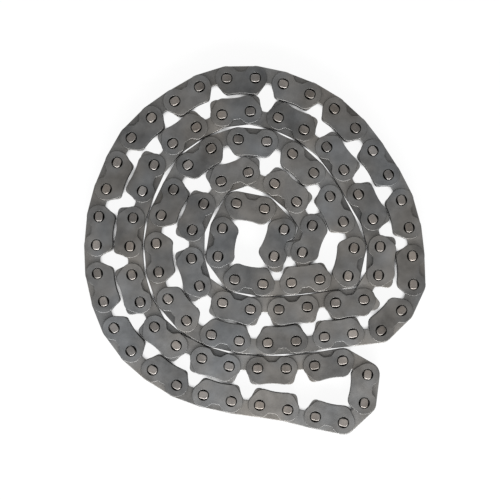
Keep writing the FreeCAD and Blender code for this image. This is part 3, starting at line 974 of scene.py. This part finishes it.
def pattern_of_pin(slab):
    """Which pin pattern reaches over a slab's heights: the opened pivot's pin is in stubs."""
    at_bottom = slab[0] - CAD_BOX[0][2] < SAME_HEIGHT
    at_top = CAD_BOX[1][2] - slab[1] < SAME_HEIGHT
    if at_bottom and at_top:
        return WHOLE_PIN
    if at_bottom:
        return LOWER_STUB
    return UPPER_STUB if at_top else MIDDLE_STUB


def points_of(node):
    """A mesh of one point for each piece in a node, with its pattern, steel and heading."""
    plates, rivets = CHAIN[node]
    rows = [(link, slab, pattern_of_plate(node, slab)) for link, slab in plates]
    rows += [(link, slab, pattern_of_pin(slab)) for link, slab in rivets]
    if not rows:
        raise RuntimeError(f"no piece of the chain was found in {node}")
    mesh = bpy.data.meshes.new(f"{node}_points")
    mesh.from_pydata([(link[0].x, link[0].y, slab[0]) for link, slab, _ in rows], [], [])
    headings = []
    for link, _, _ in rows:
        way = link[1] - link[0]
        headings.append(math.atan2(way.y, way.x))
    patterns = [pattern for _, _, pattern in rows]
    for name, kind, values in (
        ("pattern", "INT", patterns),
        ("steel", "INT", [STEEL_OF[pattern] for pattern in patterns]),
        ("heading", "FLOAT", headings),
    ):
        mesh.attributes.new(name, kind, "POINT").data.foreach_set("value", values)
    return mesh


class Workshop:
    """The patterns, steels and node tree that every piece is made with, made once."""

    tree = None
    patterns = None
    steels = None

    @classmethod
    def open(cls):
        if cls.tree is None:
            cls.patterns = make_patterns()
            cls.steels = make_steels()
            cls.tree = piece_tree()

    @classmethod
    def close(cls):
        for pattern in cls.patterns.values():
            bpy.data.objects.remove(pattern)
        cls.tree = None


def lay_node(node, seed):
    """Replace a CAD node by its dressed pieces, as one plain mesh on the node's body."""
    source = bpy.data.objects.new(f"{node}_source", points_of(node))
    bpy.context.scene.collection.objects.link(source)
    modifier = source.modifiers.new("Lay Chain Pieces", "NODES")
    modifier.node_group = Workshop.tree
    values = {"Pin Turn": PIN_TURN, "Seed": seed}
    values.update({name: Workshop.patterns[k] for k, name in enumerate(PATTERN_NAMES)})
    values.update({name: Workshop.steels[k] for k, name in enumerate(STEEL_NAMES)})
    for item in Workshop.tree.interface.items_tree:
        if item.in_out == "INPUT" and item.name in values:
            modifier[item.identifier] = values[item.name]
    graph = bpy.context.evaluated_depsgraph_get()
    made = bpy.data.meshes.new_from_object(
        source.evaluated_get(graph), preserve_all_data_layers=True, depsgraph=graph)
    made.name = f"{node}_dressed"
    source.modifiers.clear()
    bpy.data.objects.remove(source)
    piece = bpy.data.objects.new(f"{node}_dressed", made)
    bpy.context.scene.collection.objects.link(piece)
    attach(piece, body_of_node(node))
    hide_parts(node)


def body_of_node(node):
    for body, members in frame["record"]["behaviour"]["bodies"].items():
        if node in members:
            return body
    raise RuntimeError(f"{node} is on no body")


def lay_nodes(fits):
    """Dress every node whose name fits."""
    Workshop.open()
    order = sorted(frame["nodes"])
    chosen = [node for node in order if fits(node)]
    if not chosen:
        raise RuntimeError("the frame has no node of this kind")
    for node in chosen:
        lay_node(node, finish_settings().seed + order.index(node))


class CHAIN_OT_coil_guide_plates(bpy.types.Operator):
    """Lay the notched guide plates of the laid-up coil"""

    bl_idname = "chain.coil_guide_plates"
    bl_label = "Coil Guide Plates"

    def execute(self, context):
        lay_nodes(lambda node: node.endswith("_guide_plates"))
        return {"FINISHED"}


class CHAIN_OT_coil_toothed_plates(bpy.types.Operator):
    """Lay the toothed plates of the laid-up coil, and those riveted between guide plates"""

    bl_idname = "chain.coil_toothed_plates"
    bl_label = "Coil Toothed Plates"

    def execute(self, context):
        lay_nodes(lambda node: node.endswith(("_toothed_plates", "_middle_plates")))
        return {"FINISHED"}


class CHAIN_OT_coil_pins(bpy.types.Operator):
    """Lay the riveted pins of the laid-up coil"""

    bl_idname = "chain.coil_pins"
    bl_label = "Coil Pins"

    def execute(self, context):
        lay_nodes(lambda node: node.endswith("_pins"))
        return {"FINISHED"}


class CHAIN_OT_tail_guide_links(bpy.types.Operator):
    """Lay the guide links of the two tails, each with its plates and pins"""

    bl_idname = "chain.tail_guide_links"
    bl_label = "Tail Guide Links"

    def execute(self, context):
        lay_nodes(lambda node: node.endswith("_guide_link"))
        return {"FINISHED"}


class CHAIN_OT_tail_toothed_links(bpy.types.Operator):
    """Lay the toothed links of the two tails"""

    bl_idname = "chain.tail_toothed_links"
    bl_label = "Tail Toothed Links"

    def execute(self, context):
        lay_nodes(lambda node: node.endswith("_toothed_link"))
        return {"FINISHED"}


# Stage

FLOOR_REACH = 8.0
FLOOR_ROUGHNESS = 0.7
WHITE_SHARE = 0.93
# Ambient occlusion over this reach takes the white away in the narrowest slots, so the floor shows dark there:
# shade painted by an occlusion mask
SLOT_REACH = 3 * MM
SLOT_SAMPLES = 32
SLOT_DARK, SLOT_WHITE = 0.26, 0.45
SENSOR_MILLIMETRES = 36
NEAREST_SEEN = 0.01

# Each lamp's name, place, width, depth and radiance
LAMPS = (
    ("Overhead", (0, -0.55, 1.25), 1.3, 1.0, 0.95),
    ("Front", (0, -1.1, 0.55), 1.5, 0.6, 2.2),
    ("Back", (0, 1.1, 0.55), 1.5, 0.5, 1.2),
    ("Near Front", (0, -0.26, 0.24), 0.40, 0.10, 16.5),
)


def floor_material():
    """Pale and matt. The camera and gloss see it nearly white, but for the narrowest slots, which an
    ambient-occlusion mask paints with shade.
    """
    material = bpy.data.materials.new("Pale floor")
    material.use_nodes = True
    shader = Shader(material.node_tree)
    nodes = material.node_tree.nodes
    surface = nodes["Principled BSDF"]
    surface.inputs["Base Color"].default_value = (*stage_settings().floor, 1)
    surface.inputs["Roughness"].default_value = FLOOR_ROUGHNESS
    white = shader.node("ShaderNodeEmission")
    white.inputs["Color"].default_value = (1, 1, 1, 1)
    white.inputs["Strength"].default_value = 1.0
    ray = shader.node("ShaderNodeLightPath").outputs
    seen = shader.math("MAXIMUM", ray["Is Camera Ray"], ray["Is Glossy Ray"])
    seen = shader.math("MAXIMUM", seen, ray["Is Transmission Ray"])
    open_sky = shader.node("ShaderNodeAmbientOcclusion", samples=SLOT_SAMPLES)
    open_sky.inputs["Distance"].default_value = SLOT_REACH
    clear = shader.spread(open_sky.outputs["AO"], SLOT_DARK, SLOT_WHITE)
    both = shader.node("ShaderNodeMixShader")
    white_share = shader.math("MULTIPLY", seen, WHITE_SHARE)
    shader.link(shader.math("MULTIPLY", white_share, clear), both.inputs[0])
    shader.link(surface.outputs[0], both.inputs[1])
    shader.link(white.outputs[0], both.inputs[2])
    shader.link(both.outputs[0], nodes["Material Output"].inputs["Surface"])
    return material


def soft_lamp(name, place, width, depth, radiance):
    """An area lamp of even brightness that faces the middle of the chain."""
    lamp = bpy.data.lights.new(name, "AREA")
    lamp.shape = "RECTANGLE"
    lamp.size = width
    lamp.size_y = depth
    lamp.energy = radiance * math.pi * width * depth
    made = bpy.data.objects.new(name, lamp)
    made.location = place
    made.rotation_euler = (-Vector(place)).to_track_quat("-Z", "Y").to_euler()
    bpy.context.scene.collection.objects.link(made)


class CHAIN_OT_stage(bpy.types.Operator):
    """Set the floor, the lamps and the camera"""

    bl_idname = "chain.stage"
    bl_label = "Stage"

    def execute(self, context):
        s = stage_settings()
        scene = context.scene
        scene.view_settings.view_transform = "Standard"
        world = bpy.data.worlds.new("Studio")
        world.use_nodes = True
        room = world.node_tree.nodes["Background"]
        room.inputs["Color"].default_value = (1, 1, 1, 1)
        room.inputs["Strength"].default_value = s.world_level
        scene.world = world

        sheet = bpy.data.meshes.new("floor")
        corners = [(x * FLOOR_REACH, y * FLOOR_REACH, CAD_BOX[0][2])
                   for x, y in ((-1, -1), (1, -1), (1, 1), (-1, 1))]
        sheet.from_pydata(corners, [], [(0, 1, 2, 3)])
        sheet.materials.append(floor_material())
        floor = bpy.data.objects.new("floor", sheet)
        scene.collection.objects.link(floor)

        for lamp in LAMPS:
            soft_lamp(*lamp)

        camera = bpy.data.cameras.new("Camera")
        camera.sensor_width = SENSOR_MILLIMETRES
        camera.lens = camera.sensor_width * s.camera_height / s.picture_width
        camera.clip_start = NEAREST_SEEN
        seen_from = bpy.data.objects.new("Camera", camera)
        seen_from.location = (*s.picture_middle, CAD_BOX[1][2] + s.camera_height)
        scene.collection.objects.link(seen_from)
        scene.camera = seen_from
        return {"FINISHED"}


class CHAIN_PT_panel(bpy.types.Panel):
    """The chain's operators and settings"""

    bl_label = "Timing Chain"
    bl_idname = "CHAIN_PT_panel"
    bl_space_type = "VIEW_3D"
    bl_region_type = "UI"
    bl_category = "Timing Chain"

    def draw(self, context):
        layout = self.layout
        for operator in OPERATORS:
            layout.operator(operator.bl_idname)
        for settings in (
            context.scene.chain_sizes, context.scene.chain_finish, context.scene.chain_stage,
        ):
            box = layout.box()
            for name in settings.__annotations__:
                box.prop(settings, name)


OPERATORS = (
    CHAIN_OT_coil_guide_plates, CHAIN_OT_coil_toothed_plates, CHAIN_OT_coil_pins,
    CHAIN_OT_tail_guide_links, CHAIN_OT_tail_toothed_links, CHAIN_OT_stage,
)
CLASSES = (ChainSizes, ChainFinish, ChainStage) + OPERATORS + (CHAIN_PT_panel,)


def register():
    for item in CLASSES:
        bpy.utils.register_class(item)
    bpy.types.Scene.chain_sizes = PointerProperty(type=ChainSizes)
    bpy.types.Scene.chain_finish = PointerProperty(type=ChainFinish)
    bpy.types.Scene.chain_stage = PointerProperty(type=ChainStage)


def unregister():
    del bpy.types.Scene.chain_stage
    del bpy.types.Scene.chain_finish
    del bpy.types.Scene.chain_sizes
    for item in reversed(CLASSES):
        bpy.utils.unregister_class(item)


def main():
    register()
    bpy.ops.chain.stage()
    bpy.ops.chain.coil_guide_plates()
    bpy.ops.chain.coil_toothed_plates()
    bpy.ops.chain.coil_pins()
    bpy.ops.chain.tail_guide_links()
    bpy.ops.chain.tail_toothed_links()
    Workshop.close()


if __name__ == "__main__":
    main()
